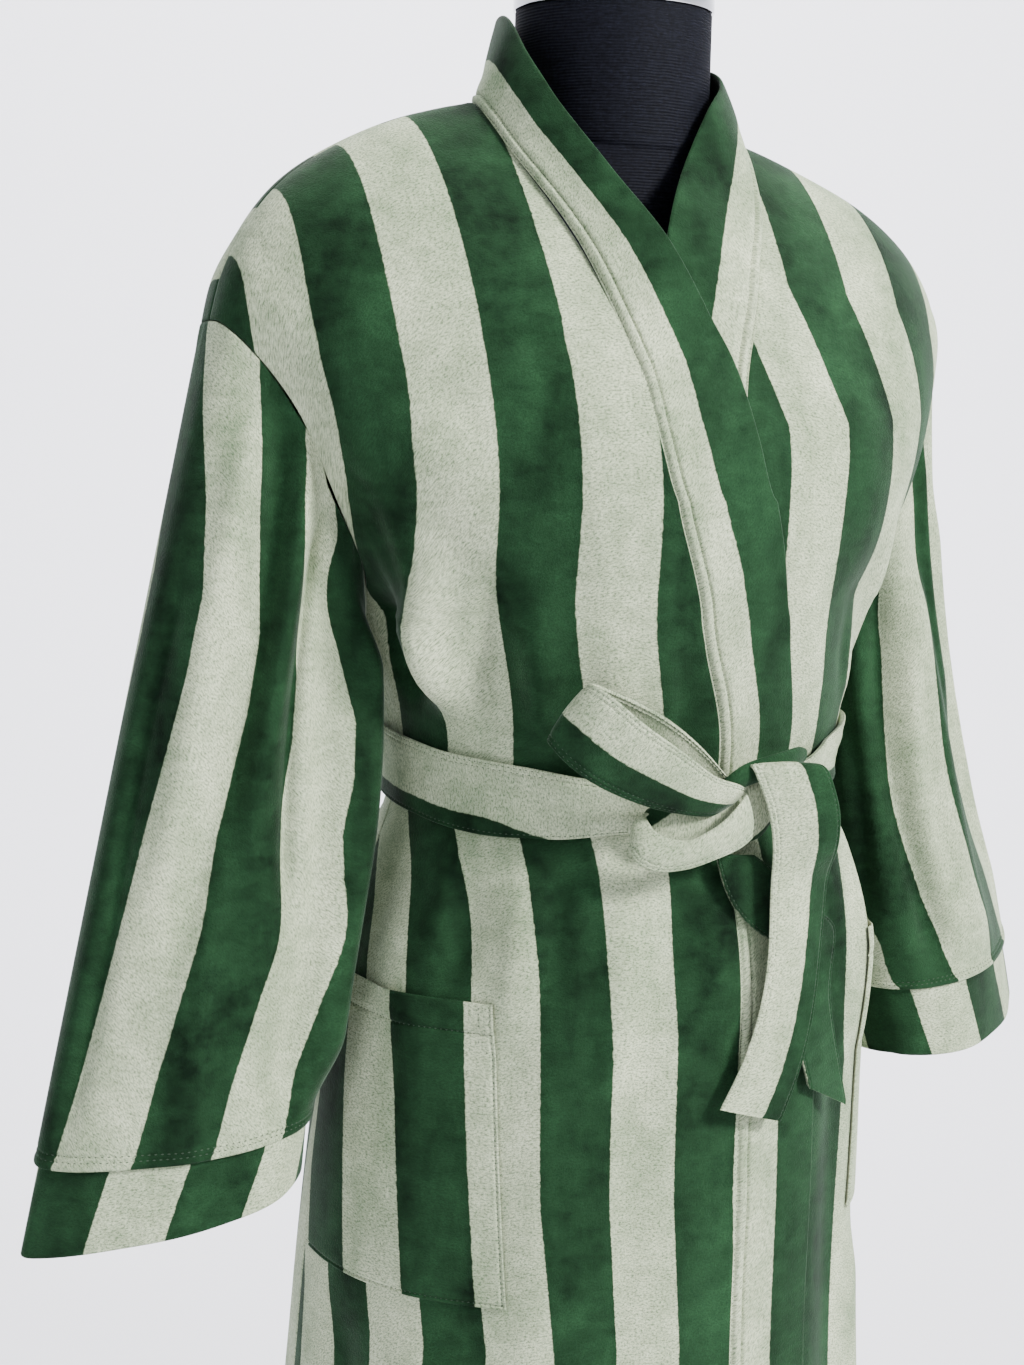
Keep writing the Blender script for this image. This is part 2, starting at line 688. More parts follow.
class Field:
    """Fine grid of one side of the worn body that the pieces on it are taken from."""

    def __init__(self, back):
        self.shares = np.linspace(-1, 1, FIELD_COLUMNS)
        dome = np.linspace(0, 1, DOME_ROWS) ** 1.4
        self.levels = np.concatenate([dome, np.linspace(1, level_of(HEM), LOW_ROWS)[1:]])
        share, level = np.meshgrid(self.shares, self.levels)
        points = body_point(share, level, back)
        points = self.settle(points)
        normals = self.outward(points, back)
        along = lengths_along(points, 1)
        middle = len(self.shares) // 2
        self.along = along - along[:, middle:middle + 1]
        z = points[..., 2]
        folds, creases = (BACK_FOLDS, BACK_CREASES) if back else (FRONT_FOLDS, FRONT_CREASES)
        height = np.where(level >= 1, fold_height(folds, share, z), 0)
        clear = belt_cover(share, z, back) * (1 - np.abs(share) ** 10)
        height += crease_height(creases, self.along, z) * clear
        self.points = points + normals * height[..., None]
        self.normals = self.outward(self.points, back)
        self.down = lengths_along(points, 0)

    @staticmethod
    def settle(points):
        """Takes the hard line out of the chest row."""
        points = points.copy()
        chest = DOME_ROWS - 1
        for _ in range(60):
            middle = (points[:-2] + points[2:]) / 2
            near = np.exp(-((np.arange(1, len(points) - 1) - chest) / 9.0) ** 2)[:, None, None]
            points[1:-1] += (middle - points[1:-1]) * near * 0.8
        return points

    @staticmethod
    def outward(points, back):
        normals = grid_normals(points)
        return normals if not back else -normals

    def sample(self, values, share, level):
        """Values of the grid between its points."""
        share, level = np.broadcast_arrays(np.asarray(share, float), np.asarray(level, float))
        x = np.interp(share, self.shares, np.arange(len(self.shares)))
        y = np.interp(level, self.levels, np.arange(len(self.levels)))
        i = np.clip(y.astype(int), 0, len(self.levels) - 2)
        j = np.clip(x.astype(int), 0, len(self.shares) - 2)
        u, v = x - j, y - i
        if values.ndim == 3:
            u, v = u[..., None], v[..., None]
        top = mix(values[i, j], values[i, j + 1], u)
        low = mix(values[i + 1, j], values[i + 1, j + 1], u)
        return mix(top, low, v)

    def place(self, share, level):
        """Points on the folded body and their outward directions."""
        return self.sample(self.points, share, level), unit(self.sample(self.normals, share, level))


FRONT = Field(False)
BACK = Field(True)


def overlap(share, level):
    """How far the right front stands off the left one under it."""
    return 3.4 * ease(0.45, 0.66, level) * ease(-0.38, -0.28, share)


# Meshes

def add_mesh(name, vertices, faces, uvs, materials, kinds=None):
    """One object in the scene from points in millimetres, with its cloth measures and its materials."""
    mesh = bpy.data.meshes.new(name)
    mesh.from_pydata((np.asarray(vertices) * MM).tolist(), [], faces)
    mesh.polygons.foreach_set("use_smooth", np.ones(len(mesh.polygons), bool))
    if uvs is not None:
        layer = mesh.uv_layers.new(name="cloth")
        corners = np.zeros(len(mesh.loops), int)
        mesh.loops.foreach_get("vertex_index", corners)
        layer.data.foreach_set("uv", (np.asarray(uvs)[corners] * MM).ravel())
    for material in materials:
        mesh.materials.append(material)
    if kinds is not None:
        mesh.polygons.foreach_set("material_index", np.asarray(kinds, np.int32))
    mesh.update()
    obj = bpy.data.objects.new(name, mesh)
    bpy.context.scene.collection.objects.link(obj)
    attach(obj, "root")
    return obj


def quads(first, rows, columns, around, flip):
    """Faces of one layer of a grid."""
    width = columns
    i, j = np.meshgrid(np.arange(rows - 1), np.arange(columns if around else columns - 1), indexing="ij")
    k = (j + 1) % width
    a, b, c, d = i * width + j, (i + 1) * width + j, (i + 1) * width + k, i * width + k
    faces = np.stack([a, b, c, d] if not flip else [a, d, c, b], -1).reshape(-1, 4)
    return first + faces


def shell(name, points, normals, thick, uv, materials, around=False, inner_uv=None):
    """Closed thin sheet on a grid: its outer layer, its inner layer and its rims."""
    rows, columns = points.shape[:2]
    thick = np.broadcast_to(thick, points.shape[:2])[..., None]
    outer = points + normals * thick / 2
    inner = points - normals * thick / 2
    count = rows * columns
    vertices = np.concatenate([outer.reshape(-1, 3), inner.reshape(-1, 3)])
    middle = (rows // 2, columns // 2)
    way = np.cross(
        points[middle[0] + 1, middle[1]] - points[middle],
        points[middle[0], (middle[1] + 1) % columns] - points[middle],
    )
    outward = float(way @ normals[middle]) > 0
    faces = [quads(0, rows, columns, around, not outward), quads(count, rows, columns, around, outward)]
    kinds = [0] * len(faces[0]) + [1 if len(materials) > 1 else 0] * len(faces[1])
    rims = []
    across = np.arange(columns if around else columns - 1)
    nxt = (across + 1) % columns
    last = (rows - 1) * columns
    for base, turned in ((0, False), (last, True)):
        rim = np.stack([base + across, base + nxt, count + base + nxt, count + base + across], -1)
        rims.append(rim if turned != (not outward) else rim[:, ::-1])
    if not around:
        down = np.arange(rows - 1)
        for base, turned in ((0, True), (columns - 1, False)):
            a = base + down * columns
            b = base + (down + 1) * columns
            rim = np.stack([a, b, count + b, count + a], -1)
            rims.append(rim if turned != (not outward) else rim[:, ::-1])
    for rim in rims:
        faces.append(rim)
        kinds += [0] * len(rim)
    second = uv if inner_uv is None else inner_uv
    uvs = np.concatenate([uv.reshape(-1, 2), second.reshape(-1, 2)])
    return add_mesh(name, vertices, np.concatenate(faces).tolist(), uvs, materials, kinds)


def solid_rings(name, rings, materials):
    """Closed body from rings of points, its ends shut by a middle point."""
    count, width = rings.shape[:2]
    vertices = np.concatenate([rings.reshape(-1, 3), rings[0].mean(0)[None], rings[-1].mean(0)[None]])
    faces = quads(0, count, width, True, True).tolist()
    j = np.arange(width)
    k = (j + 1) % width
    last = (count - 1) * width
    faces += np.stack([np.full(width, count * width), k, j], -1).tolist()
    faces += np.stack([np.full(width, count * width + 1), last + j, last + k], -1).tolist()
    volume = 0
    for face in faces[:: max(len(faces) // 400, 1)]:
        a, b, c = (vertices[n] - vertices.mean(0) for n in face[:3])
        volume += float(a @ np.cross(b, c))
    if volume < 0:
        faces = [face[::-1] for face in faces]
    return add_mesh(name, vertices, faces, vertices[:, [0, 2]], materials)


def on_path(values, length, at):
    """Point or direction this far along a path."""
    return np.array([np.interp(at, length, values[:, c]) for c in range(3)])


def stitches(name, paths, pitch=3.6, long=2.4, thick=0.42):
    """Rows of thread: each path is points and their outward directions."""
    vertices, faces = [], []
    for points, normals in paths:
        length = lengths_along(points[:, None], 0)[:, 0]
        for at in np.arange(pitch, length[-1] - pitch, pitch):
            start = on_path(points, length, at - long / 2)
            end = on_path(points, length, at + long / 2)
            up = unit(on_path(normals, length, at))
            side = np.cross(up, unit(end - start)) * thick
            middle = (start + end) / 2
            first = len(vertices)
            vertices += [start - up * THREAD_SUNK, end - up * THREAD_SUNK]
            vertices += [middle + side, middle - side, middle + up * thick, middle - up * thick]
            for a, b in ((2, 4), (4, 3), (3, 5), (5, 2)):
                faces.append([first, first + b, first + a])
                faces.append([first + 1, first + a, first + b])
    return add_mesh(name, np.array(vertices), faces, None, [THREAD_MATERIAL])


def row_path(points, normals, thick, index, axis):
    """A grid line on the outer face, as a path for thread."""
    take = (slice(None), index) if axis == "column" else (index, slice(None))
    thick = np.broadcast_to(thick, points.shape[:2])
    return points[take] + normals[take] * (thick[take] / 2)[:, None], normals[take]


def round_path(points, normals, thick, row):
    """A grid row all round a tube and back to its start, as a path for thread."""
    line, out = row_path(points, normals, thick, row, "row")
    return np.concatenate([line, line[:1]]), np.concatenate([out, out[:1]])


# Materials

class Nodes:
    """Small helper that adds nodes to a material and joins them."""

    def __init__(self, name):
        self.material = bpy.data.materials.new(name)
        self.material.use_nodes = True
        self.tree = self.material.node_tree
        self.shader = self.tree.nodes["Principled BSDF"]

    def node(self, kind, settings=(), **inputs):
        node = self.tree.nodes.new(kind)
        for key, value in dict(settings).items():
            setattr(node, key, value)
        for key, value in inputs.items():
            self.put(node, key.replace("_", " "), value)
        return node

    def put(self, node, key, value):
        socket = node.inputs[int(key)] if key.isdigit() else node.inputs[key]
        if isinstance(value, bpy.types.NodeSocket):
            self.tree.links.new(value, socket)
        else:
            socket.default_value = value

    def math(self, operation, a, b=0.0, c=0.0):
        node = self.tree.nodes.new("ShaderNodeMath")
        node.operation = operation
        for index, value in enumerate((a, b, c)):
            self.put(node, str(index), value)
        return node.outputs[0]

    def noise(self, vector, scale, detail=3.0, rough=0.5, twist=0.0):
        node = self.tree.nodes.new("ShaderNodeTexNoise")
        self.put(node, "Vector", vector)
        self.put(node, "Scale", scale)
        self.put(node, "Detail", detail)
        self.put(node, "Roughness", rough)
        self.put(node, "Distortion", twist)
        return node.outputs["Fac"]

    def spread(self, value, low, high, to_low, to_high):
        node = self.tree.nodes.new("ShaderNodeMapRange")
        for key, number in (("Value", value), ("From Min", low), ("From Max", high), ("To Min", to_low),
                            ("To Max", to_high)):
            self.put(node, key, number)
        return node.outputs["Result"]

    def blend(self, fac, a, b):
        node = self.tree.nodes.new("ShaderNodeMix")
        node.data_type = "RGBA"
        self.put(node, "0", fac)
        self.put(node, "6", a)
        self.put(node, "7", b)
        return node.outputs[2]

    def stretched(self, vector, x, y, z):
        node = self.tree.nodes.new("ShaderNodeVectorMath")
        node.operation = "MULTIPLY"
        self.put(node, "0", vector)
        self.put(node, "1", (x, y, z))
        return node.outputs[0]

    def bump(self, height, strength, distance):
        node = self.node("ShaderNodeBump", Height=height, Strength=strength, Distance=distance)
        self.put(self.shader, "Normal", node.outputs[0])


def linear(r, g, b):
    """Colour from screen values of 0 to 255."""
    parts = [c / 255 for c in (r, g, b)]
    return tuple(c / 12.92 if c <= 0.04045 else ((c + 0.055) / 1.055) ** 2.4 for c in parts) + (1.0,)


GREEN_DEEP = linear(7, 21, 11)
GREEN_LIT = linear(38, 70, 44)
SAGE_DEEP = linear(120, 136, 107)
SAGE_LIT = linear(187, 195, 166)
SPECK = linear(52, 78, 50)
THREAD = linear(36, 52, 36)
REVERSE_DEEP = linear(140, 140, 124)
REVERSE_LIT = linear(176, 174, 158)
COVER_DEEP = linear(6, 7, 12)
COVER_LIT = linear(17, 19, 27)
RIB = 1.7                     # from rib to rib of the form's cover


def striped_velvet(name):
    """Velvet in green and pale stripes, with crushed nap, flecks in the pale stripes and a soft sheen."""
    n = Nodes(name)
    cloth = n.node("ShaderNodeUVMap", {"uv_map": "cloth"}).outputs[0]
    place = n.node("ShaderNodeTexCoord").outputs["Object"]
    parts = n.node("ShaderNodeSeparateXYZ", Vector=cloth)
    wobble = n.math("MULTIPLY", n.math("SUBTRACT", n.noise(cloth, 260.0, 2.0), 0.5), 0.0016)
    across = n.math("ADD", parts.outputs[0], wobble)
    far_back = (2 * STRIPE * 40 - STRIPE_START - STRIPE / 2) * MM
    from_middle = n.math("PINGPONG", n.math("ADD", across, far_back), STRIPE * MM)
    pale = n.spread(from_middle, (STRIPE / 2 - 0.35) * MM, (STRIPE / 2 + 0.35) * MM, 0.0, 1.0)
    crushed = n.noise(n.stretched(place, 1.0, 1.0, 0.45), 24.0, 4.0, 0.6, 0.25)
    smudges = n.noise(n.stretched(place, 1.0, 1.0, 1.7), 72.0, 3.0, 0.62, 0.35)
    nap = n.math("ADD", n.math("MULTIPLY", crushed, 0.68), n.math("MULTIPLY", smudges, 0.32))
    grain = n.noise(n.stretched(cloth, 1.0, 1.8, 1.0), 520.0, 3.0, 0.8)
    green = n.blend(n.spread(nap, 0.33, 0.71, 0.0, 1.0), GREEN_DEEP, GREEN_LIT)
    sage = n.blend(n.spread(nap, 0.30, 0.66, 0.0, 1.0), SAGE_DEEP, SAGE_LIT)
    flecked = n.blend(n.spread(grain, 0.45, 0.64, 0.0, 0.82), sage, SPECK)
    fine = n.blend(n.spread(grain, 0.40, 0.66, 0.0, 0.50), green, GREEN_DEEP)
    n.put(n.shader, "Base Color", n.blend(pale, fine, flecked))
    n.shader.inputs["Roughness"].default_value = 0.85
    n.shader.inputs["Specular IOR Level"].default_value = 0.04
    n.shader.inputs["Sheen Weight"].default_value = 0.20
    n.shader.inputs["Sheen Roughness"].default_value = 0.34
    n.shader.inputs["Sheen Tint"].default_value = (0.80, 0.92, 0.80, 1.0)
    pile = n.math("MULTIPLY", n.noise(place, 900.0, 2.0, 0.7), 0.5)
    n.bump(n.math("ADD", pile, n.math("MULTIPLY", crushed, 0.8)), 0.42, 0.0022)
    return n.material


def reverse_velvet():
    """Flat wrong side of the cloth."""
    n = Nodes("velvet_reverse")
    place = n.node("ShaderNodeTexCoord").outputs["Object"]
    grain = n.noise(place, 800.0, 2.0, 0.6)
    n.put(n.shader, "Base Color", n.blend(n.spread(grain, 0.3, 0.7, 0.0, 1.0), REVERSE_DEEP, REVERSE_LIT))
    n.shader.inputs["Roughness"].default_value = 0.95
    n.shader.inputs["Specular IOR Level"].default_value = 0.1
    n.bump(grain, 0.2, 0.0005)
    return n.material


def thread_material():
    """Dark green sewing thread."""
    n = Nodes("thread")
    n.shader.inputs["Base Color"].default_value = THREAD
    n.shader.inputs["Roughness"].default_value = 0.7
    return n.material


def form_material():
    """Near-black cover with fine ribs round the form."""
    n = Nodes("form_cover")
    place = n.node("ShaderNodeTexCoord").outputs["Object"]
    height = n.node("ShaderNodeSeparateXYZ", Vector=place).outputs[2]
    ribs = n.math("MULTIPLY", height, 2 * math.pi / (RIB * MM))
    wave = n.math("SINE", n.math("ADD", ribs, n.math("MULTIPLY", n.noise(place, 60.0, 2.0), 5.0)))
    dust = n.spread(n.noise(place, 500.0, 2.0, 0.7), 0.35, 0.75, 0.0, 1.0)
    n.put(n.shader, "Base Color", n.blend(dust, COVER_DEEP, COVER_LIT))
    n.shader.inputs["Roughness"].default_value = 0.72
    n.shader.inputs["Specular IOR Level"].default_value = 0.06
    n.shader.inputs["Sheen Weight"].default_value = 0.0
    n.bump(wave, 0.35, 0.0004)
    return n.material


def metal(name, color, rough, metallic, speck=0.02):
    """Metal or paint with a slightly uneven polish."""
    n = Nodes(name)
    place = n.node("ShaderNodeTexCoord").outputs["Object"]
    n.shader.inputs["Base Color"].default_value = color
    n.shader.inputs["Metallic"].default_value = metallic
    n.put(n.shader, "Roughness", n.spread(n.noise(place, 40.0, 3.0), 0.3, 0.7, rough, rough + speck))
    return n.material


def plain(name, low, high, scale, rough):
    """Matt surface that drifts between two close colours."""
    n = Nodes(name)
    place = n.node("ShaderNodeTexCoord").outputs["Object"]
    n.put(n.shader, "Base Color", n.blend(n.noise(place, scale, 2.0), low, high))
    n.shader.inputs["Roughness"].default_value = rough
    n.shader.inputs["Specular IOR Level"].default_value = 0.1
    return n.material


VELVET = striped_velvet("striped_velvet")
WRONG_SIDE = reverse_velvet()
THREAD_MATERIAL = thread_material()
FORM_COVER = form_material()
STEEL = metal("polished_steel", linear(205, 206, 210), 0.12, 1.0)
BRUSHED = metal("brushed_steel", linear(190, 191, 194), 0.32, 1.0, 0.1)
BLACK = metal("satin_black", linear(34, 34, 36), 0.45, 0.0, 0.1)
BACKDROP = plain("pale_backdrop", linear(238, 238, 243), linear(241, 241, 245), 1.5, 0.9)


# Robe pieces

def declare(node, solid=True):
    """Says which solid the cloth stands for and its flat size."""
    if solid:
        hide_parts(node)


def seam_level(share, back, gap):
    """Level where a panel starts, this far in millimetres fore or aft of the shoulder line."""
    k = np.abs(share)
    middle = 2.6 if back else 1.3
    bend = mix(middle, 2.0, np.minimum(k / 0.8, 1) ** 1.5) + ease(0.8, 1, k)
    degrees = edge_degrees(CHEST, back) * k
    foot = ring_point(180 - degrees if back else degrees, CHEST)[..., 1]
    reach = np.abs(foot - RIDGE_Y * (1 - k))
    return np.degrees(np.arcsin(np.clip((gap / reach) ** (bend / 2), 0, 1))) / 90


def body_rows(count):
    """Levels of a panel's rows from the shoulder line down to the hem."""
    shares = edge_lines(count, 1300.0)
    fine = np.interp(shares, [0, 0.0025, 0.20, 1], [0, 0.0006, 0.28, 1])
    top = 0.44
    return np.where(
        fine < top,
        mix(0, 1, (fine / top) ** 1.15),
        mix(1, level_of(HEM), (fine - top) / (1 - top)),
    )


def sew_panel(node, field, share, level, stripes, side=1, lift=0.0, puff=0.0):
    """Lays one panel's sheet on its side of the body, with its stripes and its rounded edges."""
    points, normals = field.place(share, level)
    points = points + normals * np.broadcast_to(lift, share.shape)[..., None]
    start = np.interp(level, stripes["level"], stripes["start"])
    spread = np.interp(level, stripes["level"], stripes["spread"])
    along = field.sample(field.along, share, level)
    uv = np.stack([start + side * along * spread, field.sample(field.down, share, level)], -1)
    width, _, edges = sheet_edges(points)
    points = points + normals * (puff * gauss(width - 3.0, 2.5))[..., None]
    obj = shell(node + "_cloth", points, normals, rounded(edges, CLOTH), uv, [VELVET, WRONG_SIDE])
    declare(node)


def front_panel(side):
    """One front, from its band seam to the armhole and the side seam."""
    edge = RIGHT_EDGE if side < 0 else LEFT_EDGE
    t, level = np.meshgrid(edge_lines(96, 240.0), body_rows(250))
    seam = curve(edge, "level", "seam", level) + side * UNDER_BAND
    share = mix(seam, side * (1 - SEAM_SHARE), t)
    level = np.maximum(level, seam_level(share, False, SHOULDER_GAP))
    if side < 0:
        sew_panel("front_right", FRONT, share, level, RIGHT_STRIPES, side, overlap(share, level), BAND_ROLL)
    else:
        sew_panel("front_left", FRONT, share, level, LEFT_STRIPES, side, 0.0, BAND_ROLL)


def neck_share(side):
    """Share of the shoulder line that the neck takes on one side."""
    edge = RIGHT_EDGE if side < 0 else LEFT_EDGE
    return abs(float(curve(edge, "level", "seam", 0.0)))


def neck_level(share):
    """Level of the back's neck edge."""
    own = np.where(share < 0, neck_share(-1), neck_share(1))
    reach = np.abs(share) / own
    return np.where(reach >= 1, 0.0, curve(NECK_BACK, "share", "rise", np.minimum(reach, 1)))


def back_panel():
    """The back, from its neck edge and shoulder line down to the hem."""
    columns = edge_lines(150, 540.0) * 2 - 1
    share, level = np.meshgrid(columns * (1 - SEAM_SHARE), body_rows(170))
    start = np.maximum(neck_level(share), seam_level(share, True, SHOULDER_GAP))
    level = np.where(level < 1, mix(start, 1, level), level)
    sew_panel("back", BACK, share, level, BACK_STRIPES)


def armhole_loop(side):
    """Armhole edge from the shoulder tip down the front to the armpit and up the back, evenly spaced."""
    t = np.linspace(0, 1, 200) ** 1.5
    level = t * level_of(PIT)
    front = body_point(np.full(len(t), float(side)), level, False)
    back = body_point(np.full(len(t), float(side)), level, True)[::-1][1:]
    path = np.concatenate([front, back])
    length = lengths_along(path[:, None], 0)[:, 0]
    want = np.linspace(0, length[-1], 721)[:-1]
    return np.stack([np.interp(want, length, path[:, c]) for c in range(3)], -1)


def facing(points, middle):
    """Outward directions of a tube of cloth round its middle."""
    normals = grid_normals(points, True)
    return normals if float(((points - middle) * normals).sum()) >= 0 else -normals


def sleeve_grid(name, downs, around):
    """Middle of the sleeve's cloth, its directions and the height of its folds."""
    sleeve = SLEEVES[name]
    side = sleeve["side"]
    loop = armhole_loop(side)
    down, turn = np.meshgrid(downs, around, indexing="ij")
    angle = turn * 2 * np.pi
    under = (1 - np.cos(angle)) / 2
    down = np.where(down > 1, 1 + (down - 1) * mix(1, sleeve["cuff_inner"], under), down)
    places = np.arange(len(loop) + 1) / len(loop)
    closed = np.concatenate([loop, loop[:1]])
    start = np.stack([np.interp(turn % 1, places, closed[:, c]) for c in range(3)], -1)
    # The seam gap, wider under the arm
    start[..., 0] += side * (0.1 + 0.2 * np.sin(angle) ** 2 + 1.6 * under ** 6)
    along = sleeve["long"] * np.cos(angle)
    deep = sleeve["deep"] * np.sin(angle) * (1 - sleeve["tear"] * np.cos(angle))
    tilt = np.radians(sleeve["turn"])
    end = stack(
        sleeve["x"] + side * np.cos(tilt) * along - side * np.sin(tilt) * deep,
        sleeve["y"] - np.sin(tilt) * along - np.cos(tilt) * deep,
        mix(sleeve["inner_z"], sleeve["outer_z"], (np.cos(angle) + 1) / 2),
    )
    swell = np.sin(np.pi * np.clip(down, 0, 1))
    points = mix(start, end, down[..., None])
    points[..., 0] -= side * swell * (sleeve["bulge"] * under ** 3 + sleeve["sag"] * (1 - under))
    points[..., 1] -= sleeve["forward"] * swell * under
    middle = points.mean(1, keepdims=True)
    height = np.zeros(down.shape)
    for at, wide, high, top, low, lean in rows_of(SLEEVE_FOLDS[name], "at wide high top low lean"):
        run = ease(top - 0.06, top + 0.06, down) * (1 - ease(low - 0.08, low + 0.08, down))
        centre = at + lean * (down - 0.5) + 0.012 * np.sin(down * 7 + at * 30)
        height += SLEEVE_FOLD_DEPTH * high * run * gauss(turn - centre, wide)
    points = points + facing(points, middle) * height[..., None]
    return points, facing(points, middle), down, turn


def round_measure(points):
    """Length round each row from its first point."""
    closed = np.concatenate([points, points[:, :1]], 1)
    length = lengths_along(closed, 1)
    return length[:, :-1], length[:, -1:]


def sleeve_uv(name, points, down, turn, offset):
    """Cloth measures of a sleeve, from its fold line both ways round to its seam."""
    shifts = SLEEVE_STRIPES[name]
    ahead, whole = round_measure(points)
    shift = np.interp(down, shifts["down"], shifts["shift"])
    behind = ahead - whole
    measure = np.where(turn < UNDER_SEAM, ahead, behind)
    return np.stack([measure - shift + offset, lengths_along(points, 0)], -1)


SLEEVE_AROUND = np.linspace(0, 1, 151)[:-1]
SLEEVE_LENGTH = 460.0
SLEEVE_STITCHES = (5.0, 8.5)   # distance from the hem
UNDER_SEAM = 0.56             # share round the sleeve where its stripes meet
SLEEVE_FOLD_DEPTH = 1.5
JUMP = 0.06                   # metres of stripe that only a seam can skip


def mend_jump(obj):
    """Keeps the stripes straight up to the seam under the arm, where they don't meet."""
    layer = obj.data.uv_layers["cloth"]
    for face in obj.data.polygons:
        corners = list(face.loop_indices)
        high = max(layer.uv[c].vector[0] for c in corners)
        for corner in corners:
            if high - layer.uv[corner].vector[0] > JUMP:
                layer.uv[corner].vector[0] = high


def sleeve_piece(name):
    """One sleeve, puckered at the armhole, with its stitched hem over the cuff."""
    hem_rows = [SLEEVE_LENGTH - back for back in SLEEVE_STITCHES]
    downs = edge_lines(120, SLEEVE_LENGTH, marks=hem_rows)
    points, normals, down, turn = sleeve_grid(name, downs, SLEEVE_AROUND)
    angle = turn * 2 * np.pi
    under = (1 - np.cos(angle)) / 2
    start = 0.0004 + 0.0004 * np.sin(angle) ** 2 + 0.002 * under ** 6
    shift = (start * SLEEVE_LENGTH) * (1 - ease(0, 0.02, down))
    drop = lengths_along(points, 0)
    up = drop - drop[-1:]
    # Puckers where it is set in, and a thicker hem with two stitched grooves
    pucker = 0.5 * np.sin(angle * 34 + 3 * np.sin(turn * 40)) * gauss(drop - 6, 7)
    hem = 0.45 * gauss(up + 2.5, 2.6)
    groove = -0.5 * sum(gauss(up + back, 0.9) for back in SLEEVE_STITCHES)
    points = points + normals * (pucker + hem + groove)[..., None]
    along = unit(np.gradient(points, axis=0))
    points = points + along * shift[..., None]
    uv = sleeve_uv(name, points, down, turn, STRIPE_START + STRIPE)
    thick = rounded(np.minimum(drop, -up), CLOTH)
    node = "sleeve_" + name
    obj = shell(node + "_cloth", points, normals, thick, uv, [VELVET, WRONG_SIDE], around=True)
    mend_jump(obj)
    declare(node)
    rows = [nearest(downs * SLEEVE_LENGTH, at) for at in hem_rows]
    stitches(node + "_stitching", [round_path(points, normals, thick, row) for row in rows])


def cuff_piece(name):
    """One cuff band, inside the sleeve's hem and open below."""
    downs = mix(CUFF_FROM, CUFF_TO, edge_lines(20, 50.0))
    points, normals, down, turn = sleeve_grid(name, downs, SLEEVE_AROUND)
    drop = lengths_along(points, 0)
    ripple = 0.5 * np.sin(turn * 2 * np.pi * 9 + 1.3) * ease(0, 40, drop)
    points = points + normals * (ripple - CUFF_INSET)[..., None]
    thick = rounded(np.minimum(drop, drop[-1:] - drop), CLOTH)
    uv = sleeve_uv(name, points, down, turn, 1.0)
    node = "cuff_" + name
    obj = shell(node + "_cloth", points, normals, thick, uv, [VELVET, VELVET], around=True)
    mend_jump(obj)
    declare(node)


BAND_WIDTH = 62.0
BAND_PALE = 29.5               # width of its pale half
BAND_STITCHES = (1.6, 8.0)
BAND_TURN_ROW = 36            # row where the band turns from the back to the front


def band_front(side, levels, across):
    """The neck band in front: from its seam to its free edge, standing at the neck and lying flat below."""
    edge = RIGHT_EDGE if side < 0 else LEFT_EDGE
    stand = RIGHT_STAND if side < 0 else LEFT_STAND
    lift = 3.9 if side < 0 else 0.4
    r, level = np.meshgrid(across, levels)
    lying = ease(STAND_ENDS, STAND_DONE, level)[..., None]
    seam = curve(edge, "level", "seam", level) + side * 0.006
    free = curve(edge, "level", "free", level)
    rise = curve(edge, "level", "rise", level)
    low, low_way = FRONT.place(seam, np.maximum(level, 0.02))
    flat, flat_way = FRONT.place(mix(seam, free, r), level - rise * r)
    flat = flat + flat_way * lift
    start_lift = mix(0.4, lift, ease(0.1, 0.6, level)) if side < 0 else lift
    start = low + low_way * (np.zeros_like(level) + start_lift)[..., None]
    top = stack(*(curve(stand, "level", axis, level) for axis in "xyz"))
    arch = mix(start, top, r[..., None]) + low_way * (12 * r * (1 - r))[..., None]
    return mix(arch, flat, lying)


def band_back(side, shares, across):
    """The neck band behind the neck."""
    r, share = np.meshgrid(across, shares)
    own = neck_share(side) * share * (1 if side > 0 else -1)
    level = curve(NECK_BACK, "share", "rise", share)
    low, _ = BACK.place(own, np.maximum(level - 0.012, 0.004))
    hand = "right" if side < 0 else "left"
    top = stack(
        side * curve(NECK_BACK, "share", hand, share),
        curve(NECK_BACK, "share", "y", share),
        curve(NECK_BACK, "share", hand + "_z", share),
    )
    points = mix(low, top, r[..., None])
    points[..., 2] += 1.6 * (1 - ease(0, 0.15, r))
    return points


def smooth_rows(points, times, ends):
    """Draws each row towards its neighbours, by its own share."""
    points = points.copy()
    for _ in range(times):
        points[1:-1] += ((points[:-2] + points[2:]) / 2 - points[1:-1]) * ends[1:-1, None, None]
    return points


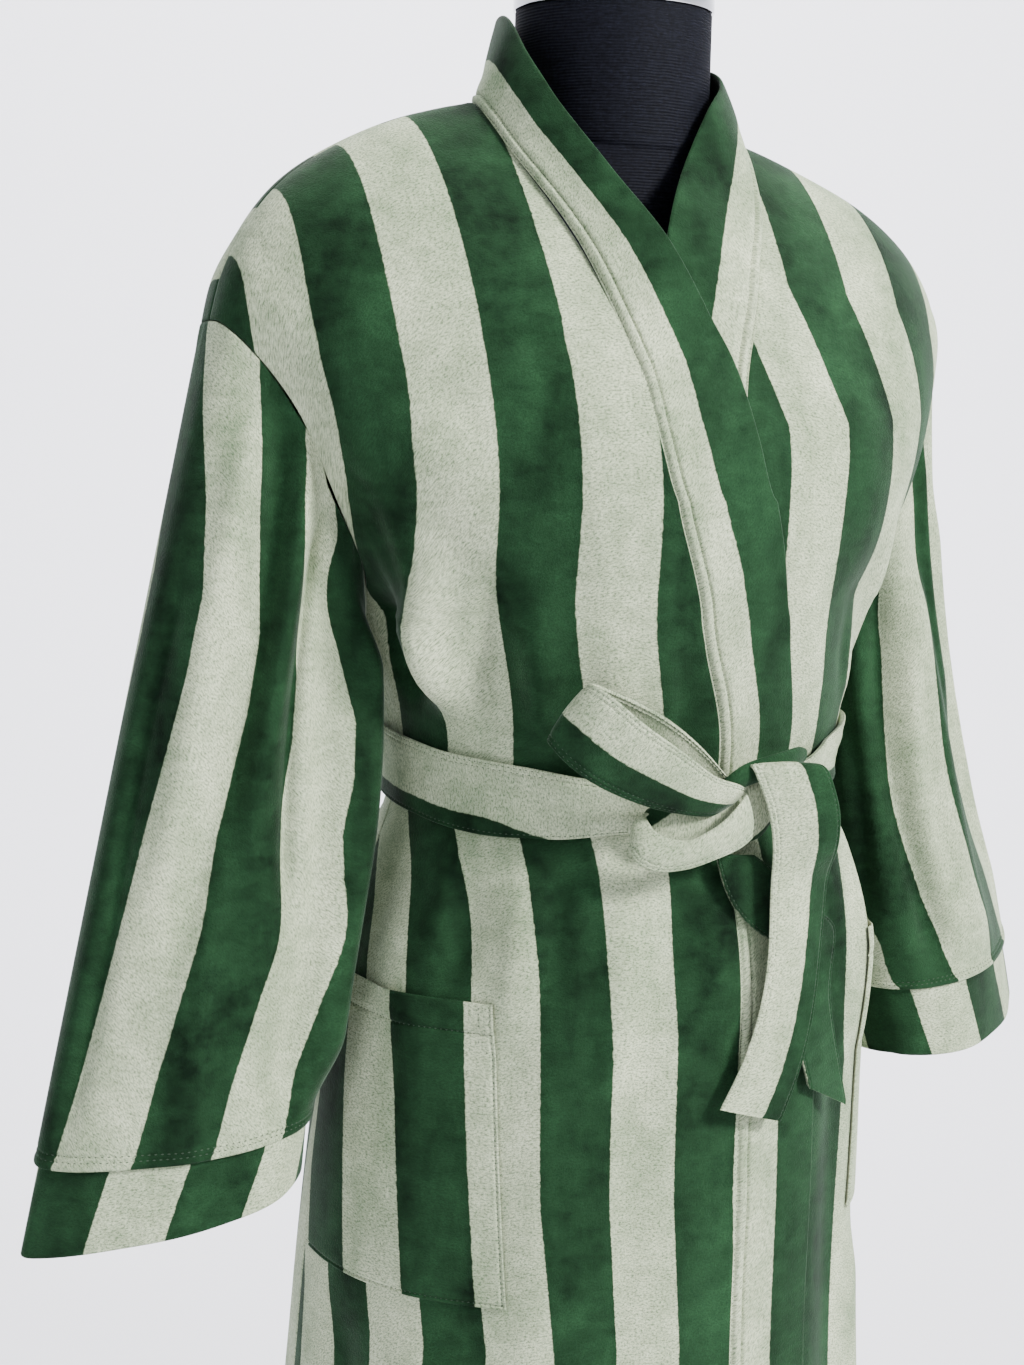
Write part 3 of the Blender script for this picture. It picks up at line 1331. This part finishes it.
def neck_band(side):
    """One half of the neck band, from the centre of the back down to the hem."""
    name = "neck_band_right" if side < 0 else "neck_band_left"
    across = edge_lines(22, BAND_WIDTH, marks=BAND_STITCHES + (BAND_PALE,))
    behind = band_back(side, np.concatenate([[0.012], np.linspace(0.04, 0.93, 34)]), across)
    levels = np.concatenate([np.linspace(0.03, 1, 110), level_of(np.linspace(CHEST, HEM, 190))[1:]])
    levels = np.append(levels[:-1], [level_of(HEM + 1.0), level_of(HEM)])
    points = np.concatenate([behind, band_front(side, levels, across)])
    near_turn = np.exp(-((np.arange(len(points)) - BAND_TURN_ROW) / 14.0) ** 2) * 0.9
    points = smooth_rows(points, 30, near_turn)
    normals = grid_normals(points)
    middle = (len(points) // 2, len(across) // 2)
    if float(normals[middle] @ (points[middle] * [1, 1, 0])) < 0:
        normals = -normals
    _, drop, edges = sheet_edges(points)
    share = across * BAND_WIDTH
    # A ridge between the two stitched grooves, small ripples beside it and slow waves further out
    relief = -1.5 * sum(gauss(share - at, 0.9) for at in BAND_STITCHES) + 1.5 * gauss(share - 4.8, 2.4)
    relief = relief + 0.4 * gauss(share - 12.0, 5.0) - 0.35 * gauss(share - 21.0, 6.0)
    ripple = 0.45 * np.sin(drop / 13.0 + 2.0 * np.sin(drop / 41.0)) * gauss(share - 9.0, 7.0)
    fade = 1 - ease(0.55, 0.8, drop / drop[-1:]) * 0.4
    swell = 0.9 * np.sin(drop / 57.0 + 0.7 + side) * ease(16, 50, share) * fade
    points = points + normals * (relief[None] + ripple + swell * ease(40, 80, drop))[..., None]
    thick = rounded(edges, BAND, 1.8)
    measure = np.broadcast_to(share - BAND_PALE + STRIPE_START, points.shape[:2])
    obj = shell(name + "_cloth", points, normals, thick, np.stack([measure, drop], -1), [VELVET, VELVET])
    declare(name)
    columns = [nearest(share, at) for at in BAND_STITCHES]
    paths = [row_path(points, normals, thick, column, "column") for column in columns]
    stitches(name + "_stitching", paths, pitch=3.2, long=2.2)


POCKET_HEM = 17.0
POCKET_EDGE = 2.2             # distance of the edge stitching
POCKET_CORNER = (9.0, 27.0)    # stitched rectangle at the top front corner


def pocket_piece(name):
    """One patch pocket: stitched down at its front edge and its foot, with a top hem and a sewn corner."""
    pocket = POCKETS[name]
    side = pocket["side"]
    tall = pocket["top"] - pocket["low"]
    t, down = np.meshgrid(
        edge_lines(34, pocket["wide"], marks=(POCKET_EDGE, POCKET_CORNER[0])),
        edge_lines(44, tall, marks=(POCKET_HEM, POCKET_CORNER[1], tall - POCKET_EDGE)),
    )
    level = level_of(mix(pocket["top"], pocket["low"], down))
    share = side * mix(mix(pocket["front_top"], pocket["front_low"], down), pocket["back"], t)
    points, normals = FRONT.place(share, level)
    if side < 0:
        points = points + normals * overlap(share, level)[..., None]
    width, drop, edges = sheet_edges(points)
    bow = np.sin(np.pi * t)
    gap = 0.9 + 1.6 * bow * (1 - down) ** 2 + 0.3 * bow * np.sin(np.pi * down)
    points = points + normals * (CLOTH + gap)[..., None]
    # Stitched grooves, the raised top hem, and ripples along its stitching
    groove = gauss(width - POCKET_EDGE, 0.8) + gauss(drop - drop[-1:] + POCKET_EDGE, 0.8)
    hem = 0.35 * (1 - ease(POCKET_HEM - 2, POCKET_HEM, drop)) - 0.8 * gauss(drop - POCKET_HEM, 0.9)
    ripple = 0.35 * np.sin(width / 7.0 + 1.1) * gauss(drop - POCKET_HEM, 7.0)
    points = points + normals * (hem - 0.7 * groove + ripple)[..., None]
    thick = rounded(edges, CLOTH)
    uv = np.stack([width - pocket["stripe"] + STRIPE_START, drop], -1)
    node = "pocket_" + name
    obj = shell(node + "_cloth", points, normals, thick, uv, [VELVET, WRONG_SIDE])
    declare(node)
    front = nearest(width[0], POCKET_EDGE)
    beside = nearest(width[0], POCKET_CORNER[0])
    under = nearest(drop[:, 0], POCKET_CORNER[1])
    paths = [row_path(points, normals, thick, nearest(drop[:, 0], POCKET_HEM), "row")]
    paths.append(row_path(points, normals, thick, nearest(drop[:, 0], drop[-1, 0] - POCKET_EDGE), "row"))
    paths.append(row_path(points, normals, thick, front, "column"))
    paths.append([part[:under + 1] for part in row_path(points, normals, thick, beside, "column")])
    paths.append([part[front:beside + 1] for part in row_path(points, normals, thick, under, "row")])
    stitches(node + "_stitching", paths, pitch=3.2, long=2.2)


BELT_WIDTH = 43.0
BELT_TOP_STITCHES = (1.8, 4.6)
BELT_PALE_SIDE = 33.0         # pale part of the belt's face at the sides and behind
BELT_PALE_FRONT = 44.0        # in front the green edge is turned under


def belt_round():
    """Belt round the waist: folded strip with its pale face outwards and a green lower edge."""
    marks = BELT_TOP_STITCHES + (BELT_WIDTH - 2.0,)
    across = edge_lines(14, BELT_WIDTH, marks=marks)
    drop = across * BELT_WIDTH
    degrees, share = np.meshgrid(np.linspace(-180, 180, 241)[:-1], mix(-1, 1, across))
    middle = curve(BELT_RING, "at", "z", degrees)
    half = curve(BELT_RING, "at", "half", degrees)
    ahead = ring_point(degrees + 0.5, middle) - ring_point(degrees - 0.5, middle)
    normals = unit(stack(ahead[..., 1], -ahead[..., 0], 0 * degrees))
    # In front it stands off over the wrapped fronts
    wrapped = ease(-46, -32, degrees) * (1 - ease(26, 40, degrees))
    lift = CLOTH / 2 + 0.7 + BELT / 2 + 4.9 * wrapped + 1.2 * np.abs(share)
    points = ring_point(degrees, middle - share * half) + normals * lift[..., None]
    # Small pleats where the knot draws it in, and slow waves all round
    pleats = 2.6 * np.sin(share * 5.2 + degrees * 0.05) + 1.2 * np.sin(share * 11 + degrees * 0.11)
    crush = (1 - half / 22) * pleats
    wave = 0.8 * np.sin(degrees * 0.14 + share * 1.2) + 0.5 * np.sin(degrees * 0.37 + 2)
    groove = -0.6 * sum(gauss(drop - mark, 0.8) for mark in marks)
    points = points + normals * (np.maximum(crush, -0.3) + 0.4 + 0.5 * wave + groove[:, None])[..., None]
    edges = np.minimum(drop, BELT_WIDTH - drop)[:, None] + 0 * degrees
    thick = rounded(edges, BELT, 2.0)
    folded_under = ease(-58, -34, degrees) * (1 - ease(26, 40, degrees))
    pale = mix(BELT_PALE_SIDE, BELT_PALE_FRONT, folded_under)
    uv = np.stack([drop[:, None] - pale + STRIPE_START, degrees * 2.4], -1)
    obj = shell("belt_round_cloth", points, normals, thick, uv, [VELVET, VELVET], around=True)
    declare("belt_round")
    paths = [round_path(points, normals, thick, nearest(drop, mark)) for mark in marks]
    stitches("belt_round_stitching", paths, pitch=3.4, long=2.4, thick=0.36)


def strip(name, rows, width, outer_start, inner_start, marks, curl, solid=True):
    """Loose belt strip between two edges, given station by station, with its own stripe on each face."""
    index = np.arange(len(rows["ax"]), dtype=float)
    rows = dict(rows, i=index)
    at = np.linspace(0, len(index) - 1, 12 * len(index))
    across = edge_lines(18, width, marks=marks)
    a = stack(*(curve(rows, "i", column, at) for column in ("ax", "ay", "az")))
    b = stack(*(curve(rows, "i", column, at) for column in ("bx", "by", "bz")))
    a, b = (smooth_rows(edge[:, None], 24, np.full(len(at), 0.5))[:, 0] for edge in (a, b))
    points = mix(a[:, None], b[:, None], across[None, :, None])
    normals = grid_normals(points)
    if normals[len(at) // 4, len(across) // 2, 1] > 0:
        normals = -normals
    run = lengths_along(points, 0)
    share = across * width
    bow = curl * np.sin(np.pi * across)[None] + 0.5 * np.sin(run / 17.0 + 2 * across[None])
    groove = 0 * share - 0.5 * sum(gauss(share - mark, 0.7) for mark in marks)
    points = points + normals * (bow + groove[None])[..., None]
    edges = np.minimum(np.minimum(share, width - share)[None] + 0 * run, np.minimum(run, run[-1:] - run))
    thick = rounded(edges, BOW, 1.6)
    outer, inner = (
        np.stack([np.broadcast_to(share + start + STRIPE_START, run.shape), run], -1)
        for start in (outer_start, inner_start)
    )
    obj = shell(name + "_cloth", points, normals, thick, outer, [VELVET, VELVET], inner_uv=inner)
    declare(name, solid)
    paths = []
    for mark in marks:
        line, out = row_path(points, normals, thick, nearest(share, mark), "column")
        paths.append((line, out))
        paths.append((line - out * thick[:, nearest(share, mark)][:, None], -out))
    if paths:
        stitches(name + "_stitching", paths, pitch=3.2, long=2.2, thick=0.34)


KNOT_STRIPE = 1076 * 0.84 - 36 + STRIPE_START    # keeps the knot's face pale


def knot():
    """Knot: the belt wrapped slantwise over itself."""
    rows = dict(KNOT, i=np.arange(len(KNOT["x"]), dtype=float))
    last = len(rows["i"]) - 1
    turn = np.linspace(0, 2 * np.pi, 121)[:-1]
    angle, place = np.meshgrid(turn, np.linspace(0, last, 90))
    x, y, z, tall, deep = (curve(rows, "i", column, place) for column in ("x", "y", "z", "tall", "deep"))
    slant = np.sin(angle + (x + 46) / 93 * 2.2) * 0.5 + 0.5
    fold = 1.4 * gauss(np.sin(angle + (x + 20) / 24.0), 0.28)
    fold = fold - 1.2 * gauss(np.sin(angle + (x + 6) / 24.0), 0.2)
    size = ease(0, 1.0, place) * ease(last, last - 1, place)
    swell = 1 + (0.05 * slant + 0.05 * fold) * size
    y = y + swell * deep * power(np.cos(angle), 0.9)
    z = z + swell * tall * power(np.sin(angle), 0.9)
    obj = solid_rings("belt_knot_cloth", stack(x, y, z), [VELVET])
    corners = np.zeros(len(obj.data.loops), int)
    obj.data.loops.foreach_get("vertex_index", corners)
    where = np.array([v.co[:] for v in obj.data.vertices]) / MM
    measure = where[:, 0] * 0.55 - where[:, 2] * 0.84 + KNOT_STRIPE
    values = np.stack([measure[corners], where[:, 0][corners]], -1) * MM
    obj.data.uv_layers["cloth"].data.foreach_set("uv", values.ravel())
    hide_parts("belt_knot")


# Dress form and stand

def form_ring(right, left, front, back, z, y, columns, exponent):
    """Rounded section with its own reach to each side."""
    turn = np.linspace(0, 2 * np.pi, columns + 1)[:-1]
    s = power(np.sin(turn), 2 / exponent)
    c = power(np.cos(turn), 2 / exponent)
    return stack(s * np.where(s < 0, right, left), y - c * np.where(c > 0, front, back), z)


def shoulder_ring(at, columns):
    """Loop round the neck that runs just under the cloth of the shoulders."""
    turn = np.linspace(0, 2 * np.pi, columns + 1)[:-1]
    away = np.abs(np.cos(turn))
    share = curve(FORM_SHOULDER, "i", "share", at) * np.sin(turn)
    level = curve(FORM_SHOULDER, "i", "level", at) * away ** 0.9
    deep_front = curve(FORM_SHOULDER, "i", "front", at) * away ** 3
    deep_back = curve(FORM_SHOULDER, "i", "back", at) * away
    under = CLOTH / 2 + CLOTH_ON_FORM + 0.5
    ahead, ahead_way = FRONT.place(share, np.maximum(level, 0.02))
    behind, behind_way = BACK.place(share, np.maximum(level * 0.9, 0.02))
    ahead = ahead - ahead_way * (under + deep_front)[:, None]
    behind = behind - behind_way * (under + deep_back)[:, None]
    return np.where((np.cos(turn) < 0)[:, None], behind, ahead)


# Neck of the form: radius, height over its base and share of the drop in front, with the seam's groove
NECK_RINGS = table(
    "radius rise drop",
    (57.5, 0.0, 1.0), (57.5, 1.2, 1.0), (56.9, 2.0, 1.0), (56.9, 2.8, 1.0), (57.6, 3.8, 1.0),
    (57.5, 6.0, 0.95), (57.5, 20.0, 0.6), (57.5, 40.0, 0.0), (57.5, 71.0, 0.0), (56.9, 72.0, 0.0),
)


def form_torso():
    """The form's covered torso with its neck, one closed body."""
    columns = 160
    rings = []
    for z in np.concatenate([[728, 731, 735], np.linspace(742, 1240, 60)]):
        sizes = [float(curve(FORM, "z", side, z)) for side in ("right", "left", "front", "back")]
        rings.append(form_ring(*sizes, z, 0, columns, FORM_POWER))
    for at in np.linspace(0, 6, 25):
        rings.append(shoulder_ring(at, columns))
    for radius, rise, drop in rows_of(NECK_RINGS, "radius rise drop"):
        ring = form_ring(radius, radius, radius, radius, NECK_BASE + rise, NECK_Y, columns, 2)
        ring[:, 2] += drop * NECK_DROP * np.minimum((ring[:, 1] - NECK_Y) / NECK_RADIUS, 0)
        rings.append(ring)
    rings = np.array(rings)
    # The rows of the shoulders are smoothed into the chest and the neck
    soft = np.zeros(len(rings))
    soft[60:90] = 0.6
    obj = solid_rings("form_torso_cover", smooth_rows(rings, 6, soft), [FORM_COVER])
    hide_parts("form_torso")


def lathe(name, node, profile, y, material, columns=128):
    """Round body from a profile of radius and height, with crisp edges."""
    rings = np.array([form_ring(r, r, r, r, z, y, columns, 2) for r, z in profile])
    obj = solid_rings(name, rings, [material])
    obj.modifiers.new("edges", "EDGE_SPLIT").split_angle = math.radians(40)
    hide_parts(node)


def cap_and_stand():
    """Steel neck cap, pole and round base."""
    start = NECK_TOP + SEAM
    cap = [
        (NECK_RADIUS + 0.8, start), (NECK_RADIUS + 1.2, start + 0.6), (NECK_RADIUS + 1.2, start + 8.2),
        (NECK_RADIUS + 0.6, start + 9.6), (NECK_RADIUS - 3, start + 13), (NECK_RADIUS * 0.5, start + 15.6),
        (2.0, start + CAP_HEIGHT),
    ]
    lathe("form_cap_steel", "form_cap", cap, NECK_Y, STEEL)
    pole = [
        (POLE_RADIUS - 0.6, BASE_HEIGHT + 18.4), (POLE_RADIUS, BASE_HEIGHT + 19.2),
        (POLE_RADIUS, POLE_TOP - 0.8), (POLE_RADIUS - 0.6, POLE_TOP),
    ]
    lathe("stand_pole_steel", "stand_pole", pole, 0, BRUSHED)
    base = [
        (BASE_RADIUS - 2, 0), (BASE_RADIUS, 2), (BASE_RADIUS, BASE_HEIGHT - 4),
        (BASE_RADIUS - 2, BASE_HEIGHT - 1), (BASE_RADIUS - 6, BASE_HEIGHT), (34, BASE_HEIGHT + 1),
        (26, BASE_HEIGHT + 6), (24, BASE_HEIGHT + 18),
    ]
    lathe("stand_base_plate", "stand_base", base, 0, BLACK)


# Stage, camera and light

STAGE_FLOOR = 3.0             # metres: the flat floor's reach, the bend up to the wall, the wall's top
STAGE_BEND = 2.6
STAGE_TOP = 7.0


def backdrop():
    """Pale floor that curves up into a wall all round."""
    profile = [(0.001, 0.0), (STAGE_FLOOR, 0.0)]
    for angle in np.radians(np.linspace(0, 90, 19)[1:]):
        profile.append((STAGE_FLOOR + STAGE_BEND * math.sin(angle), STAGE_BEND * (1 - math.cos(angle))))
    profile.append((STAGE_FLOOR + STAGE_BEND, STAGE_TOP))
    turn = np.linspace(0, 2 * np.pi, 97)[:-1]
    rings = np.array([stack(r * np.cos(turn), r * np.sin(turn), z + 0 * turn) for r, z in profile])
    faces = quads(0, len(profile), len(turn), True, True).tolist()
    mesh = bpy.data.meshes.new("backdrop")
    mesh.from_pydata(rings.reshape(-1, 3).tolist(), [], faces)
    mesh.polygons.foreach_set("use_smooth", np.ones(len(mesh.polygons), bool))
    mesh.materials.append(BACKDROP)
    obj = bpy.data.objects.new("backdrop", mesh)
    bpy.context.scene.collection.objects.link(obj)


CAMERA = dict(x=-650.0, y=-1125.8, z=1300.0, lens=56.9, heading=-27.665, pitch=8.0, roll=1.2)


def photo_camera():
    """Camera at the photograph's place, from its heading, pitch and roll."""
    data = bpy.data.cameras.new("photo_camera")
    data.sensor_width = 36
    data.lens = CAMERA["lens"]
    data.clip_start = 0.05
    camera = bpy.data.objects.new("photo_camera", data)
    h, p, r = (math.radians(CAMERA[key]) for key in ("heading", "pitch", "roll"))
    forward = mathutils.Vector((-math.sin(h) * math.cos(p), math.cos(h) * math.cos(p), -math.sin(p)))
    right = mathutils.Vector((math.cos(h), math.sin(h), 0))
    up = right.cross(forward)
    turned_right = math.cos(r) * right + math.sin(r) * up
    turned_up = -math.sin(r) * right + math.cos(r) * up
    rotation = mathutils.Matrix((turned_right, turned_up, -forward)).transposed().to_4x4()
    place = mathutils.Vector((CAMERA["x"], CAMERA["y"], CAMERA["z"])) * MM
    camera.matrix_world = mathutils.Matrix.Translation(place) @ rotation
    bpy.context.scene.collection.objects.link(camera)
    bpy.context.scene.camera = camera


def area_light(name, place, target, size, energy, color):
    """Square lamp that points at its target."""
    data = bpy.data.lights.new(name, "AREA")
    data.size = size
    data.energy = energy
    data.color = color
    light = bpy.data.objects.new(name, data)
    light.location = place
    way = mathutils.Vector(target) - mathutils.Vector(place)
    light.rotation_euler = way.to_track_quat("-Z", "Y").to_euler()
    bpy.context.scene.collection.objects.link(light)


def lights():
    """Soft room light with one stronger lamp from the front right, and a lamp for the wall."""
    world = bpy.data.worlds.new("soft_room")
    world.use_nodes = True
    background = world.node_tree.nodes["Background"]
    background.inputs["Color"].default_value = (0.90, 0.92, 0.97, 1)
    background.inputs["Strength"].default_value = 0.36
    bpy.context.scene.world = world
    area_light("key", (1.5, -2.5, 2.9), (0, 0, 1.1), 0.8, 330, (1.0, 0.985, 0.96))
    area_light("fill", (-2.6, -1.6, 2.2), (0, 0, 1.1), 1.6, 26, (0.95, 0.97, 1.0))
    area_light("top", (0.4, 0.7, 3.4), (0, 0, 1.2), 1.4, 70, (1.0, 1.0, 1.0))
    area_light("wall", (1.2, 2.2, 3.6), (2.6, 5.2, 1.4), 2.4, 330, (0.98, 0.98, 1.0))


def build():
    """Makes every piece of the robe, the form and the stage."""
    back_panel()
    for side, name in ((-1, "right"), (1, "left")):
        front_panel(side)
        sleeve_piece(name)
        cuff_piece(name)
        neck_band(side)
        pocket_piece(name)
    belt_round()
    knot()
    strip("belt_loop", LOOP, 41.0, 25.5, 47.0, (1.8, 4.2, 36.8, 39.2), 1.5)
    strip("belt_tail_front", TAIL_FRONT, 44.0, -29.0, -29.0, (1.8, 4.4, 42.0), 0.8)
    strip("belt_tail_back", TAIL_BACK, 40.0, 0.0, 47.0, (2.0, 38.0), 0.6)
    strip("belt_knot_wrap", KNOT_WRAP, 22.0, 47.0, 47.0, (1.8, 4.2), 2.0, False)
    strip("belt_knot_fold", KNOT_FOLD, 13.0, 8.0, 8.0, (), 2.5, False)
    form_torso()
    cap_and_stand()
    backdrop()
    photo_camera()
    lights()


build()
